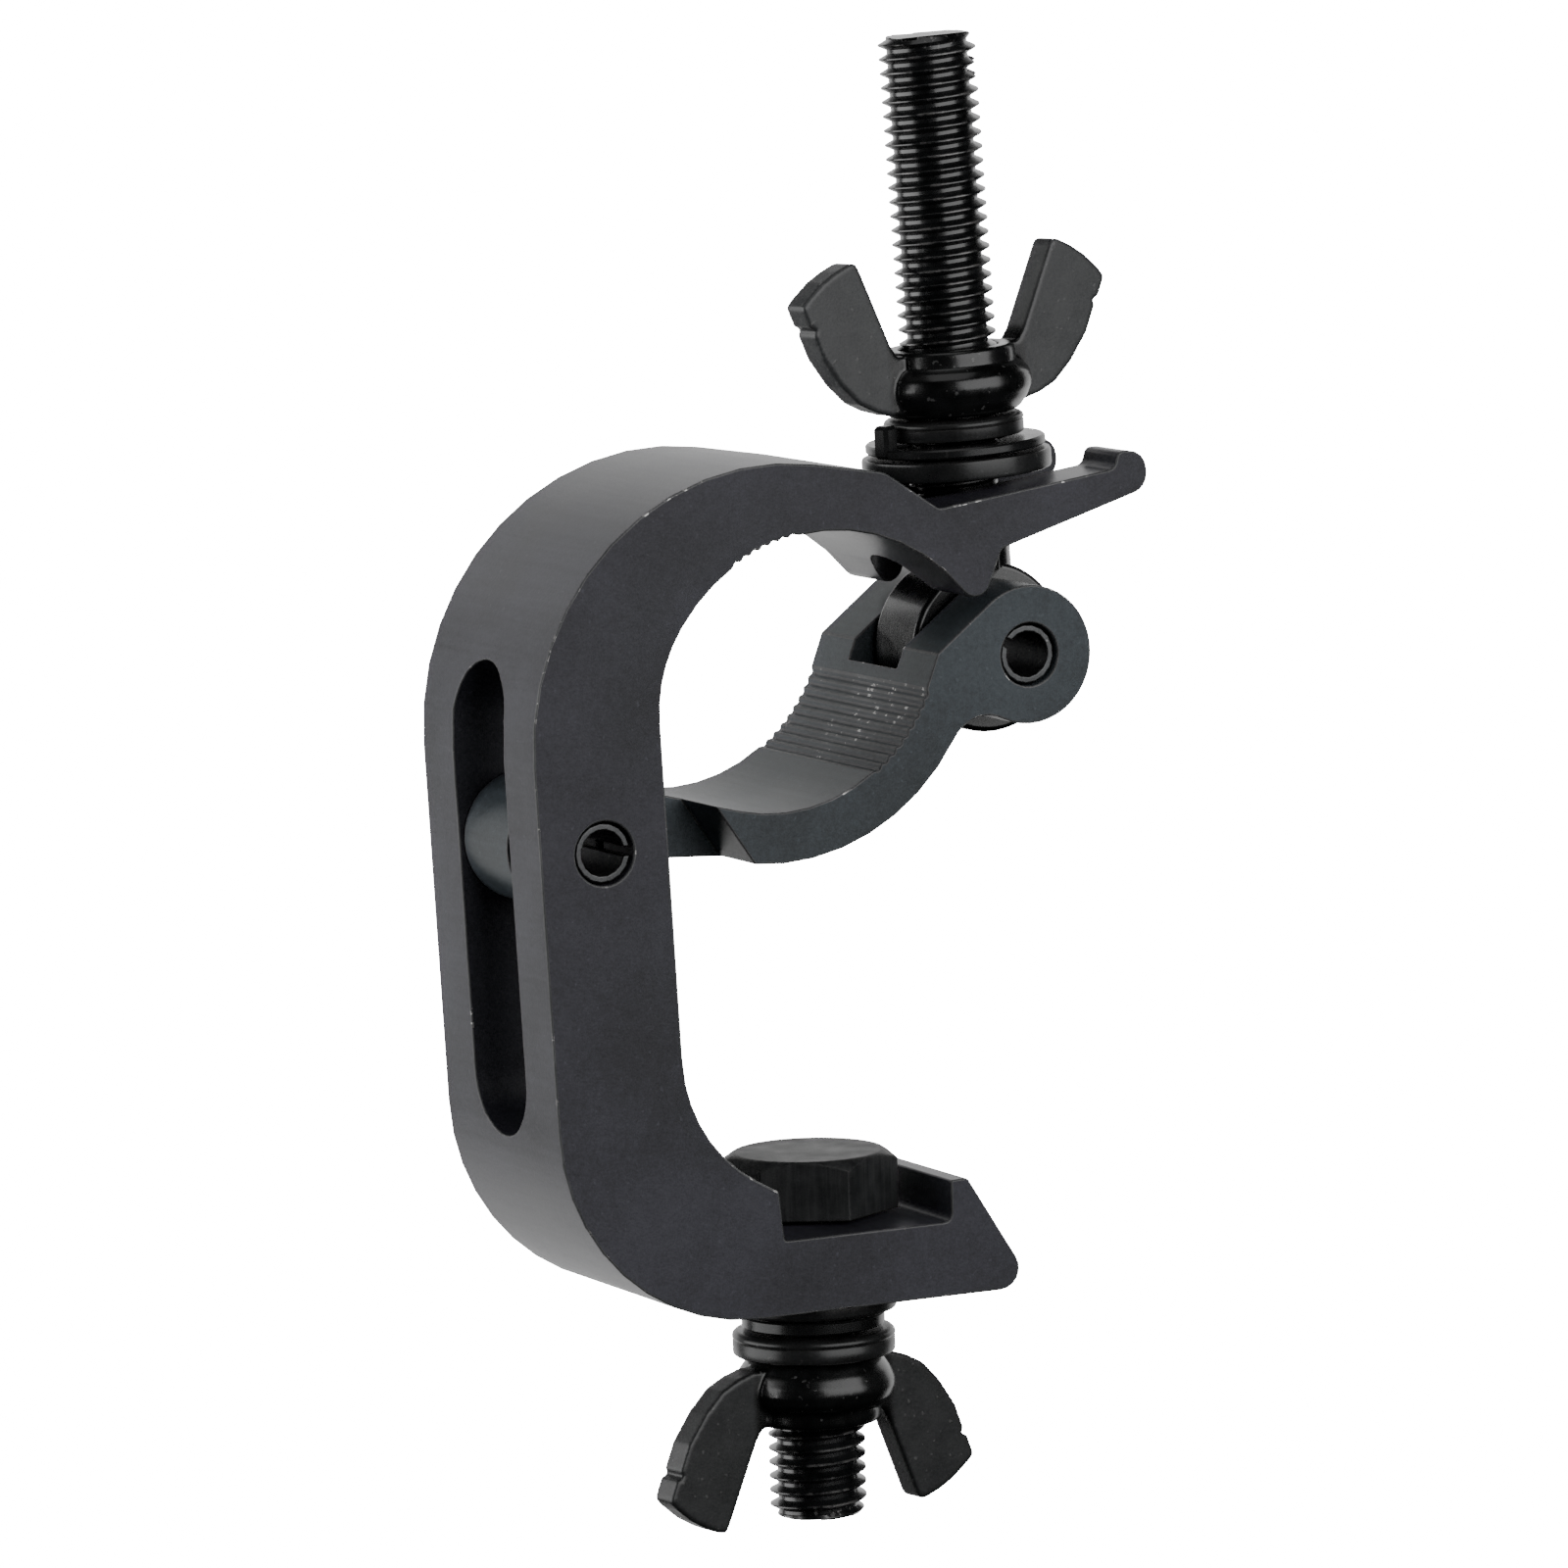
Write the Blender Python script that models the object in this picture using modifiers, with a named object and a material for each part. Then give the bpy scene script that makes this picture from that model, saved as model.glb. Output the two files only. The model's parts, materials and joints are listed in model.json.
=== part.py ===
"""Hook clamp for a round truss tube, with a hinged lower jaw, a swing bolt and two wing nuts.

The profile lies in the XZ plane and is extruded along Y, the direction of the tube.  The origin is
the centre of the tube grip, X points from the spine to the tips of the arms and Z points up.
All sizes are in metres.
"""
from math import acos, atan2, ceil, cos, hypot, pi, radians, sin, sqrt, tan

import bmesh
import bpy
from mathutils import Matrix, Vector

# ---------------------------------------------------------------- driving dimensions
GRIP_RADIUS = 0.0238            # half of the largest tube that seats in the upper jaw
BODY_WIDTH = 0.032              # length of the extrusion along the tube
SPINE_THICKNESS = 0.017
SPINE_LEAN = radians(2.17)      # the spine leans back at its top
LOWER_ARM_DROP = 0.0712         # tube centre to the flat underside
FOOT_RADIUS = 0.0260            # outer curve from the spine to the underside
THROAT_TOP_RADIUS = 0.0178      # inner curves of the C, under the upper and over the lower arm
THROAT_BOTTOM_RADIUS = 0.0186

CROWN_WALL = 0.0076             # metal over the grip, where the top starts to fall
VALLEY_WALL = 0.0059            # metal over the grip at the lowest point of the top
VALLEY_ANGLE = radians(58.8)
SHOULDER_WALL = 0.0090          # outer curve of the upper jaw, past the grip radius
TOP_SLOPE = -0.167
ARM_OVERHANG = 0.0203           # how far the upper arm reaches past the grip
ARM_SLOPE = tan(radians(7.5))
ARM_UNDERSIDE = tan(radians(16.6))
LIP_WIDTH = 0.0045
LIP_RISE = 0.0021               # height of the hook lip over the arm
LIP_THICKNESS = 0.0047

SPINE_SLOT_TOP = 0.0097
SPINE_SLOT_BOTTOM = -0.0482

FIT_GAP = 0.0003                # clearance wherever two pieces touch
SIDE_PLAY = 0.00075             # how far the loose jaw can slide from the middle
BOLT_RADIUS = 0.006             # M12 threads
BOLT_HOLE_PLAY = 0.00075
BOLT_SLOT_PLAY = 0.00125        # each side of the swing bolt in the arm's slot
BOLT_SLOT_BEHIND = 0.0055       # bolt pin to the middle of the slot's round end
TIP_CHAMFER = 0.0009

PIN_RADIUS = 0.0036             # rolled spring pins
PIN_WALL = 0.0008
PIN_SLIT = 0.0011
PIN_INSET = 0.0006              # how far a pin ends below the face it sits in

JAW_PIN_HEIGHT = -0.0127
BOLT_PIN_REACH = 0.0047         # bolt pin past the grip radius
BOLT_PIN_ANGLE = radians(13.4)
KNUCKLE_RADIUS = 0.008
JAW_THICKNESS = 0.0062
JAW_NECK_RADIUS = 0.0051
EYE_RADIUS = 0.0085
CLEVIS_DEPTH = 0.0130           # bolt pin to the floor of the clevis slot

SWING_BOLT_LENGTH = 0.0754      # bolt pin to the threaded tip
SWING_BOLT_LEAN = radians(-2.87)
SWING_EYE_RADIUS = 0.0105
SWING_EYE_RELIEF = 0.0006       # the flat eye is this much thinner than the stem on each side

LOWER_BOLT_X = 0.0030
LOWER_BOLT_LENGTH = 0.0378
HEX_ACROSS_FLATS = 0.019
HEX_HEIGHT = 0.0076
HEX_CROWN = 0.0010              # depth of the chamfer round the head's top
POCKET_PLAY = 0.00043           # each side of the head's corners
POCKET_DEPTH = 0.0051
POCKET_FLOOR = 0.0092           # metal left under the pocket
FOOT_NOSE = 0.0112              # metal beyond the pocket, measured on the underside

TOOTH_DEPTH = 0.00045
BODY_TEETH = 7
JAW_TEETH = 9

# washers: width of the ring beyond the bolt, thickness
UPPER_FLAT = (0.0057, 0.0025)
UPPER_SPRING = (0.0051, 0.0014)
UPPER_THICK = (0.00285, 0.0026)
LOWER_FLAT = (0.0044, 0.0023)
LOWER_SPRING = (0.00285, 0.0018)
LOWER_THICK = (0.0043, 0.0031)
WASHER_EDGE = 0.0005
SPRING_SPLIT = radians(14)

WING_THICKNESS = 0.0039
WING_REACH = 0.0136             # hub to the outer corner of a wing
WING_HEIGHT = 0.0203
HUB_WALL = 0.0040
HUB_HEIGHT = 0.0082
WING_TURN = radians(9.3)        # how the wings stand about the bolt, from +X

# ---------------------------------------------------------------- derived sizes and places
LEAN = tan(SPINE_LEAN)
SPINE_FRONT = -(GRIP_RADIUS - 0.0010)       # at the height of the tube's centre
SPINE_BACK = SPINE_FRONT - SPINE_THICKNESS / cos(SPINE_LEAN)
PIN_HOLE_RADIUS = PIN_RADIUS + FIT_GAP
BOLT_HOLE_RADIUS = BOLT_RADIUS + BOLT_HOLE_PLAY
NUT_BORE_RADIUS = BOLT_RADIUS + FIT_GAP
WASHER_BORE_RADIUS = BOLT_RADIUS + 1.5 * FIT_GAP
HUB_RADIUS = BOLT_RADIUS + HUB_WALL
WING_SPAN = HUB_RADIUS + WING_REACH
SLOT_WIDTH = 2 * (BOLT_RADIUS + BOLT_SLOT_PLAY)     # the spine slot and the arm's slot are one width
KNUCKLE_WIDTH = SLOT_WIDTH - 2 * (SIDE_PLAY + FIT_GAP)
JAW_WIDTH = BODY_WIDTH - 2 * FIT_GAP
SWING_EYE_WIDTH = 2 * (BOLT_RADIUS - SWING_EYE_RELIEF)
CLEVIS_WIDTH = SWING_EYE_WIDTH + 2 * (SIDE_PLAY + FIT_GAP)
HEX_CORNER = HEX_ACROSS_FLATS / sqrt(3)
POCKET_LEFT = LOWER_BOLT_X - HEX_CORNER - POCKET_PLAY
POCKET_RIGHT = LOWER_BOLT_X + HEX_CORNER + POCKET_PLAY
POCKET_Z = -LOWER_ARM_DROP + POCKET_FLOOR
POCKET_TOP = POCKET_Z + POCKET_DEPTH
UNDERSIDE_REACH = POCKET_RIGHT + FOOT_NOSE
JAW_INNER_RADIUS = GRIP_RADIUS - 0.0019
JAW_PIN = ((SPINE_FRONT + SPINE_BACK) / 2 - JAW_PIN_HEIGHT * LEAN, JAW_PIN_HEIGHT)
BOLT_PIN = ((GRIP_RADIUS + BOLT_PIN_REACH) * cos(BOLT_PIN_ANGLE),
            (GRIP_RADIUS + BOLT_PIN_REACH) * sin(BOLT_PIN_ANGLE))

ROUND = 40                      # sides of a round piece
ARC_STEP = radians(9)
SMALL_RADIUS = 0.0040           # tighter arcs take coarser steps


# ---------------------------------------------------------------- scene helpers
def clear_scene():
    for item in list(bpy.data.objects):
        bpy.data.objects.remove(item, do_unlink=True)


def new_collection(name):
    collection = bpy.data.collections.new(name)
    bpy.context.scene.collection.children.link(collection)
    return collection


clear_scene()
PARTS = new_collection("pipe_clamp")
CUTTERS = new_collection("cutters")


def material(name, colour, roughness, metallic):
    made = bpy.data.materials.new(name)
    made.use_nodes = True
    shader = made.node_tree.nodes["Principled BSDF"]
    shader.inputs["Base Color"].default_value = (*colour, 1.0)
    shader.inputs["Roughness"].default_value = roughness
    shader.inputs["Metallic"].default_value = metallic
    return made


def empty(name, place, lean=0.0, parent=None):
    """A joint's axis: local Y is the hinge line, local Z the leaning centre line."""
    item = bpy.data.objects.new(name, None)
    item.empty_display_size = 0.01
    item.location = place
    item.rotation_euler = (0.0, lean, 0.0)
    item.parent = parent
    PARTS.objects.link(item)
    return item


def add_part(name, mesh, parent, look):
    item = bpy.data.objects.new(name, mesh)
    item.parent = parent
    mesh.materials.clear()
    mesh.materials.append(look)
    PARTS.objects.link(item)
    return item


def add_tool(name, mesh, parent=None):
    """A hidden shape that a Boolean reads."""
    item = bpy.data.objects.new(name, mesh)
    item.parent = parent
    item.hide_render = True
    item.display_type = "WIRE"
    CUTTERS.objects.link(item)
    return item


def combine(item, tool, operation="DIFFERENCE"):
    boolean = item.modifiers.new(f"{operation.lower()} {tool.name}", "BOOLEAN")
    boolean.operation = operation
    boolean.solver = "EXACT"
    boolean.object = tool


def smooth(item, angle=radians(30)):
    item.data.shade_smooth()
    item.data.set_sharp_from_angle(angle=angle)


# ---------------------------------------------------------------- outline helpers
def polar(radius, angle, centre=(0.0, 0.0)):
    return (centre[0] + radius * cos(angle), centre[1] + radius * sin(angle))


def arc(centre, radius, start, end):
    """Points along an arc, both ends included; angles in radians from +X towards +Z."""
    step_angle = ARC_STEP if radius > SMALL_RADIUS else 2.5 * ARC_STEP
    steps = max(1, ceil(abs(end - start) / step_angle))
    points = []
    for step in range(steps + 1):
        angle = start + (end - start) * step / steps
        points.append(polar(radius, angle, centre))
    return points


def rounded(corners):
    """Points of a closed outline whose corners (x, z, radius) are rounded by tangent arcs."""
    points = []
    for index, (x, z, radius) in enumerate(corners):
        corner = Vector((x, z))
        if radius == 0.0:
            points.append((x, z))
            continue
        before = (Vector(corners[index - 1][:2]) - corner).normalized()
        after = (Vector(corners[(index + 1) % len(corners)][:2]) - corner).normalized()
        half = acos(max(-1.0, min(1.0, before.dot(after)))) / 2
        centre = corner + (before + after).normalized() * (radius / sin(half))
        first = corner + before * (radius / tan(half)) - centre
        last = corner + after * (radius / tan(half)) - centre
        start = atan2(first.y, first.x)
        turn = (atan2(last.y, last.x) - start + pi) % (2 * pi) - pi
        points += arc(centre, radius, start, start + turn)
    return points


def teeth(centre, radius, start, end, count, depth):
    """A serrated arc: each tooth is a crest on the arc and a groove cut outwards from it."""
    points = []
    for index in range(count):
        crest = start + (end - start) * index / count
        groove = start + (end - start) * (index + 0.5) / count
        points.append(polar(radius, crest, centre))
        points.append(polar(radius + depth, groove, centre))
    points.append(polar(radius, end, centre))
    return points


def meet(line_point, line_slope, x_at_zero, lean):
    """Where the line through a point with slope dz/dx meets the leaning line x = x_at_zero - lean z."""
    x, z = line_point
    height = (z + line_slope * (x_at_zero - x)) / (1 + line_slope * lean)
    return (x_at_zero - lean * height, height)


def between(first, first_radius, second, second_radius):
    """The point at the given distances from two centres, on the right going from first to second."""
    span = Vector(second) - Vector(first)
    along = (first_radius ** 2 - second_radius ** 2 + span.length ** 2) / (2 * span.length)
    across = sqrt(first_radius ** 2 - along ** 2)
    unit = span.normalized()
    return tuple(Vector(first) + unit * along + Vector((unit.y, -unit.x)) * across)


def extruded(name, outline, width, origin=(0.0, 0.0), y=0.0, turn=0.0):
    """A flat outline in XZ, given as a filled 2D curve, extruded evenly about the plane at y."""
    curve = bpy.data.curves.new(name, "CURVE")
    curve.dimensions = "2D"
    curve.fill_mode = "BOTH"
    curve.extrude = width / 2
    spline = curve.splines.new("POLY")
    spline.points.add(len(outline) - 1)
    for point, (x, z) in zip(spline.points, outline):
        point.co = (x - origin[0], z - origin[1], 0.0, 1.0)
    spline.use_cyclic_u = True
    item = bpy.data.objects.new(name, curve)
    CUTTERS.objects.link(item)
    mesh = bpy.data.meshes.new_from_object(item.evaluated_get(bpy.context.evaluated_depsgraph_get()))
    bpy.data.objects.remove(item)
    bpy.data.curves.remove(curve)
    stand = Matrix.Rotation(turn, 4, "Z") @ Matrix.Translation((0.0, y, 0.0)) @ Matrix.Rotation(pi / 2, 4, "X")
    mesh.transform(stand)
    shape = bmesh.new()
    shape.from_mesh(mesh)
    bmesh.ops.remove_doubles(shape, verts=shape.verts, dist=1e-6)
    bmesh.ops.recalc_face_normals(shape, faces=shape.faces)
    shape.to_mesh(mesh)
    shape.free()
    mesh.name = name
    return mesh


def cylinder(name, radius, start, end, axis="Z", place=(0.0, 0.0, 0.0), sides=ROUND):
    """A cylinder between two heights along an axis through a place."""
    mesh = bpy.data.meshes.new(name)
    shape = bmesh.new()
    turn = {"Z": Matrix(), "Y": Matrix.Rotation(-pi / 2, 4, "X")}[axis]
    matrix = Matrix.Translation(place) @ turn @ Matrix.Translation((0.0, 0.0, (start + end) / 2))
    bmesh.ops.create_cone(shape, cap_ends=True, segments=sides, radius1=radius, radius2=radius,
                          depth=end - start, matrix=matrix)
    shape.to_mesh(mesh)
    shape.free()
    return mesh


def turned(name, profile, parent, look, closed=False):
    """A turned piece: the profile (radius, height) runs down its outer side and is spun about Z."""
    mesh = bpy.data.meshes.new(name)
    shape = bmesh.new()
    points = [shape.verts.new((radius, 0.0, height)) for radius, height in profile]
    for index in range(len(points) - 1):
        shape.edges.new((points[index], points[index + 1]))
    if closed:
        shape.edges.new((points[-1], points[0]))
    shape.to_mesh(mesh)
    shape.free()
    item = add_part(name, mesh, parent, look) if look else add_tool(name, mesh, parent)
    screw = item.modifiers.new("turn", "SCREW")
    screw.axis = "Z"
    screw.steps = ROUND
    screw.render_steps = ROUND
    screw.use_merge_vertices = True
    screw.merge_threshold = 1e-6
    smooth(item)
    return item


# ---------------------------------------------------------------- profiles
def body_outline():
    """The C, from its outer top corner clockwise: top, valley, arm, lip, nose, grip, throat, foot."""
    crown = polar(GRIP_RADIUS + CROWN_WALL, radians(75))
    top_corner = meet(crown, TOP_SLOPE, SPINE_BACK, LEAN)
    valley = polar(GRIP_RADIUS + VALLEY_WALL, VALLEY_ANGLE)
    arm_end = GRIP_RADIUS + ARM_OVERHANG
    lip_x = arm_end - LIP_WIDTH
    lip_base = valley[1] + ARM_SLOPE * (lip_x - valley[0])
    lip_top = lip_base + LIP_RISE
    lip_bottom = lip_top - LIP_THICKNESS
    nose_root = (GRIP_RADIUS, lip_bottom - ARM_UNDERSIDE * ARM_OVERHANG)
    nose_tip = polar(GRIP_RADIUS + 0.0004, radians(31.3))
    grip_start = radians(40)
    grip_end = radians(145)
    teeth_start = radians(99)
    teeth_end = radians(122)
    grip = arc((0.0, 0.0), GRIP_RADIUS, grip_start, teeth_start)[:-1]
    grip += teeth((0.0, 0.0), GRIP_RADIUS, teeth_start, teeth_end, BODY_TEETH, TOOTH_DEPTH)
    grip += arc((0.0, 0.0), GRIP_RADIUS, teeth_end, grip_end)[1:]
    grip_corner = meet(grip[-1], -1 / tan(grip_end), SPINE_FRONT, LEAN)
    heel = (POCKET_LEFT - 0.0024, POCKET_TOP + 0.0023)
    heel_slope = -0.536
    inner_corner = meet(heel, heel_slope, SPINE_FRONT, LEAN)
    nose_lean = 0.622                       # run over rise of the foot's sloping front
    foot_nose = UNDERSIDE_REACH - (LOWER_ARM_DROP + POCKET_TOP) * nose_lean
    foot_corner = (SPINE_BACK + LOWER_ARM_DROP * LEAN, -LOWER_ARM_DROP)
    return rounded([
        (*top_corner, GRIP_RADIUS + SHOULDER_WALL),
        (*crown, 0.0030),
        (*valley, 0.0010),
        (lip_x, lip_base, 0.0012),
        (lip_x + 0.0006, lip_top, 0.0009),
        (arm_end, lip_top, 0.0024),
        (arm_end, lip_bottom, 0.0024),
        (*nose_root, 0.0009),
        (*nose_tip, 0.0021),
        *[(x, z, 0.0) for x, z in grip],
        (*grip_corner, THROAT_TOP_RADIUS),
        (*inner_corner, THROAT_BOTTOM_RADIUS),
        (POCKET_LEFT - 0.0006, POCKET_TOP + 0.0010, 0.0003),
        (POCKET_LEFT, POCKET_Z, 0.0004),
        (POCKET_RIGHT, POCKET_Z, 0.0010),
        (POCKET_RIGHT, POCKET_TOP, 0.0003),
        (foot_nose, POCKET_TOP + 0.0001, 0.0007),
        (UNDERSIDE_REACH, -LOWER_ARM_DROP, 0.0026),
        (*foot_corner, FOOT_RADIUS),
    ])


def jaw_outline():
    """The jaw, from the tongue along its inner side to the eye and back along its outer side."""
    outer_radius = JAW_INNER_RADIUS + JAW_THICKNESS
    middle = between(BOLT_PIN, JAW_INNER_RADIUS + 0.0129, JAW_PIN, JAW_INNER_RADIUS + 0.0126)
    neck = between(middle, outer_radius + JAW_NECK_RADIUS, BOLT_PIN, EYE_RADIUS + JAW_NECK_RADIUS)
    pin_line = atan2(BOLT_PIN[1] - middle[1], BOLT_PIN[0] - middle[0])
    to_eye = atan2(BOLT_PIN[1] - neck[1], BOLT_PIN[0] - neck[0])
    to_band = atan2(middle[1] - neck[1], middle[0] - neck[0])
    teeth_start = pin_line - radians(46)
    teeth_end = pin_line - radians(14)
    band_end = pin_line - radians(10)
    ramp_foot = (BOLT_PIN[0] - 0.0126, BOLT_PIN[1] + 0.0010)
    ramp_top = radians(129.4)               # where the inner ramp touches the eye
    tilt = radians(15)                      # the tongue falls from the knuckle to the band
    band_start = radians(-98)
    root_radius = 0.0060
    root_z = JAW_PIN[1] - 0.0027 - root_radius
    root_x = JAW_PIN[0] + sqrt((KNUCKLE_RADIUS + root_radius) ** 2 - (JAW_PIN[1] - root_z) ** 2)
    to_knuckle = atan2(JAW_PIN[1] - root_z, JAW_PIN[0] - root_x)
    points = arc(middle, JAW_INNER_RADIUS, -pi / 2 - tilt, teeth_start)
    points += teeth(middle, JAW_INNER_RADIUS, teeth_start, teeth_end, JAW_TEETH, TOOTH_DEPTH)[1:]
    points += arc(middle, JAW_INNER_RADIUS, teeth_end, band_end)[1:]
    points += [ramp_foot]
    points += arc(BOLT_PIN, EYE_RADIUS, ramp_top, to_eye - pi)
    points += arc(neck, JAW_NECK_RADIUS, to_eye, to_band)[1:]
    points += arc(middle, outer_radius, to_band - pi, band_start)[1:]
    points += arc((root_x, root_z), root_radius, pi / 2, to_knuckle)
    points += arc(JAW_PIN, KNUCKLE_RADIUS, to_knuckle - pi, pi / 2 - tilt - 2 * pi)[1:]
    return points


def pin_outline(slit_angle):
    outer = PIN_SLIT / 2 / PIN_RADIUS
    inner = PIN_SLIT / 2 / (PIN_RADIUS - PIN_WALL)
    points = arc((0.0, 0.0), PIN_RADIUS, slit_angle + outer, slit_angle + 2 * pi - outer)
    points += arc((0.0, 0.0), PIN_RADIUS - PIN_WALL, slit_angle + 2 * pi - inner, slit_angle + inner)
    return points


def wing_outline():
    """One wing in the plane of the nut: (distance from the axis, height above the bearing face)."""
    return rounded([
        (HUB_RADIUS - 0.0030, HUB_HEIGHT, 0.0),
        (HUB_RADIUS, HUB_HEIGHT + 0.0002, 0.0012),
        (WING_SPAN - 0.0082, WING_HEIGHT, 0.0010),
        (WING_SPAN - 0.0036, WING_HEIGHT - 0.0016, 0.0150),
        (WING_SPAN, WING_HEIGHT - 0.0050, 0.0008),
        (WING_SPAN - 0.0036, 0.0068, 0.0120),
        (HUB_RADIUS + 0.0018, 0.0013, 0.0060),
        (HUB_RADIUS - 0.0030, 0.0011, 0.0),
    ])


def washer(name, size, base, parent, look):
    """A round washer with broken edges, standing on base."""
    ring, thickness = size
    radius = BOLT_RADIUS + ring
    top = base + thickness
    profile = [
        (WASHER_BORE_RADIUS, top),
        (radius - WASHER_EDGE, top),
        (radius, top - WASHER_EDGE),
        (radius, base + WASHER_EDGE),
        (radius - WASHER_EDGE, base),
        (WASHER_BORE_RADIUS, base),
    ]
    return turned(name, profile, parent, look, closed=True)


def spring_washer(name, size, base, parent, look, split_at):
    """A split ring of square section: the section is spun about Z and its two ends are closed."""
    ring, thickness = size
    radius = BOLT_RADIUS + ring
    mesh = bpy.data.meshes.new(name)
    shape = bmesh.new()
    start = split_at + SPRING_SPLIT / 2
    section = []
    for distance, height in ((WASHER_BORE_RADIUS, 0.0), (radius, 0.0), (radius, thickness),
                             (WASHER_BORE_RADIUS, thickness)):
        section.append(shape.verts.new((distance * cos(start), distance * sin(start), base + height)))
    edges = [shape.edges.new((section[index - 1], section[index])) for index in range(4)]
    bmesh.ops.spin(shape, geom=section + edges, cent=(0.0, 0.0, 0.0), axis=(0.0, 0.0, 1.0),
                   angle=2 * pi - SPRING_SPLIT, steps=ROUND)
    bmesh.ops.holes_fill(shape, edges=shape.edges, sides=4)
    bmesh.ops.recalc_face_normals(shape, faces=shape.faces)
    shape.to_mesh(mesh)
    shape.free()
    item = add_part(name, mesh, parent, look)
    smooth(item)
    return item


# ---------------------------------------------------------------- materials
COAT = material("black_coat", (0.035, 0.035, 0.038), 0.55, 0.2)
JAW_COAT = material("jaw_coat", (0.035, 0.036, 0.040), 0.55, 0.2)
OXIDE = material("black_oxide", (0.02, 0.02, 0.024), 0.35, 0.7)
DARK_STEEL = material("dark_steel", (0.05, 0.05, 0.055), 0.40, 0.8)
SPRING_STEEL = material("spring_steel", (0.04, 0.04, 0.043), 0.35, 0.8)


# ---------------------------------------------------------------- clamp body
def slot_outline(centre, half_length):
    """A stadium standing along Z."""
    radius = SLOT_WIDTH / 2
    upper = arc((centre[0], centre[1] + half_length - radius), radius, 0.0, pi)
    lower = arc((centre[0], centre[1] - half_length + radius), radius, pi, 2 * pi)
    return upper + lower


def make_body():
    body = add_part("clamp_body", extruded("clamp_body", body_outline(), BODY_WIDTH), None, COAT)
    middle = (SPINE_SLOT_TOP + SPINE_SLOT_BOTTOM) / 2
    half = (SPINE_SLOT_TOP - SPINE_SLOT_BOTTOM) / 2
    reach = 2 * SPINE_THICKNESS
    slot = extruded("spine_slot", slot_outline((0.0, middle), half), reach, y=-JAW_PIN[0], turn=pi / 2)
    combine(body, add_tool("spine_slot", slot))

    run_start = BOLT_PIN[0] - BOLT_SLOT_BEHIND
    run_end = GRIP_RADIUS + 2 * ARM_OVERHANG
    low = BOLT_PIN[1]
    high = 2 * GRIP_RADIUS
    slot_end = cylinder("bolt_slot_end", SLOT_WIDTH / 2, low, high, place=(run_start, 0.0, 0.0))
    combine(body, add_tool("bolt_slot_end", slot_end))
    run = [(run_start, low), (run_end, low), (run_end, high), (run_start, high)]
    combine(body, add_tool("bolt_slot_run", extruded("bolt_slot_run", run, SLOT_WIDTH)))

    pin_hole = cylinder("jaw_pin_hole", PIN_HOLE_RADIUS, -BODY_WIDTH, BODY_WIDTH, "Y",
                        (JAW_PIN[0], 0.0, JAW_PIN[1]))
    combine(body, add_tool("jaw_pin_hole", pin_hole))
    bolt_hole = cylinder("lower_bolt_hole", BOLT_HOLE_RADIUS, -LOWER_ARM_DROP - POCKET_FLOOR, POCKET_TOP,
                         place=(LOWER_BOLT_X, 0.0, 0.0))
    combine(body, add_tool("lower_bolt_hole", bolt_hole))
    return body


# ---------------------------------------------------------------- pins
def make_pin(name, width, y, slit_angle, parent):
    length = width - 2 * PIN_INSET
    return add_part(name, extruded(name, pin_outline(slit_angle), length, y=y), parent, SPRING_STEEL)


# ---------------------------------------------------------------- lower jaw
def make_jaw(pivot):
    mesh = extruded("lower_jaw", jaw_outline(), JAW_WIDTH, origin=JAW_PIN, y=SIDE_PLAY)
    jaw = add_part("lower_jaw", mesh, pivot, JAW_COAT)

    # both sides are milled away beside the tongue, back to a slanted shoulder
    top = (JAW_PIN[0] + 0.0133, JAW_PIN[1] + 0.0074)
    bottom = (JAW_PIN[0] + 0.0228, JAW_PIN[1] - 0.0067)
    far = JAW_PIN[0] - 2 * KNUCKLE_RADIUS
    ceiling = JAW_PIN[1] + 2 * KNUCKLE_RADIUS
    floor = JAW_PIN[1] - 2 * KNUCKLE_RADIUS
    side = [top, (far, ceiling), (far, floor), (bottom[0], floor), bottom]
    depth = JAW_WIDTH / 2
    for name, sign in (("tongue_side_front", -1), ("tongue_side_back", 1)):
        middle = SIDE_PLAY + sign * (KNUCKLE_WIDTH / 2 + depth / 2)
        tool = extruded(name, side, depth, origin=JAW_PIN, y=middle)
        combine(jaw, add_tool(name, tool, pivot))

    # the clevis slot for the swing bolt's eye, open at the eye's outer end
    inward = Vector((cos(radians(203)), sin(radians(203))))
    across = Vector((-inward.y, inward.x)) * 2 * EYE_RADIUS
    floor = Vector(BOLT_PIN) + inward * CLEVIS_DEPTH
    mouth = Vector(BOLT_PIN) - inward * 2 * EYE_RADIUS
    clevis = [tuple(point) for point in (floor - across, floor + across, mouth + across, mouth - across)]
    tool = extruded("clevis", clevis, CLEVIS_WIDTH, origin=JAW_PIN, y=SIDE_PLAY)
    combine(jaw, add_tool("clevis", tool, pivot))

    for name, pin in (("jaw_bore", JAW_PIN), ("eye_bore", BOLT_PIN)):
        tool = cylinder(name, PIN_HOLE_RADIUS, -JAW_WIDTH, JAW_WIDTH, "Y",
                        (pin[0] - JAW_PIN[0], 0.0, pin[1] - JAW_PIN[1]))
        combine(jaw, add_tool(name, tool, pivot))
    return jaw


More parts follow.
